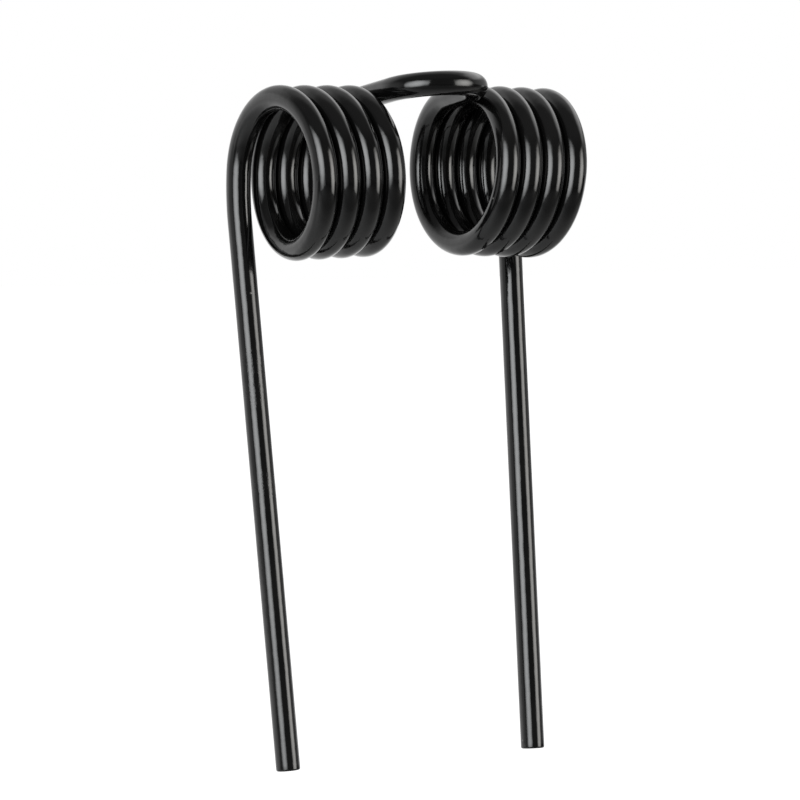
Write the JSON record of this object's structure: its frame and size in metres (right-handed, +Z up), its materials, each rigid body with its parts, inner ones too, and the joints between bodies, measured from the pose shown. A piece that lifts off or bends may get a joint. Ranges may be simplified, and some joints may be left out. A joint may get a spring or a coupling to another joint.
{
  "type": "baler pick-up tine",
  "caption": "Sprung wire tine for lifting crop into a baler: straight legs on close-wound coils, joined by a U-shaped mounting loop.",
  "frame": {"origin": "on the axis of the two coils, halfway between them", "axes": "+X along the coil axis, -Y towards the mounting loop, +Z up, with the legs hanging down"},
  "size_m": [0.0818, 0.042, 0.1654],
  "materials": {
    "black_coating": "gloss"
  },
  "bodies": {
    "root": {"tine": "black_coating"}
  },
  "joints": []
}
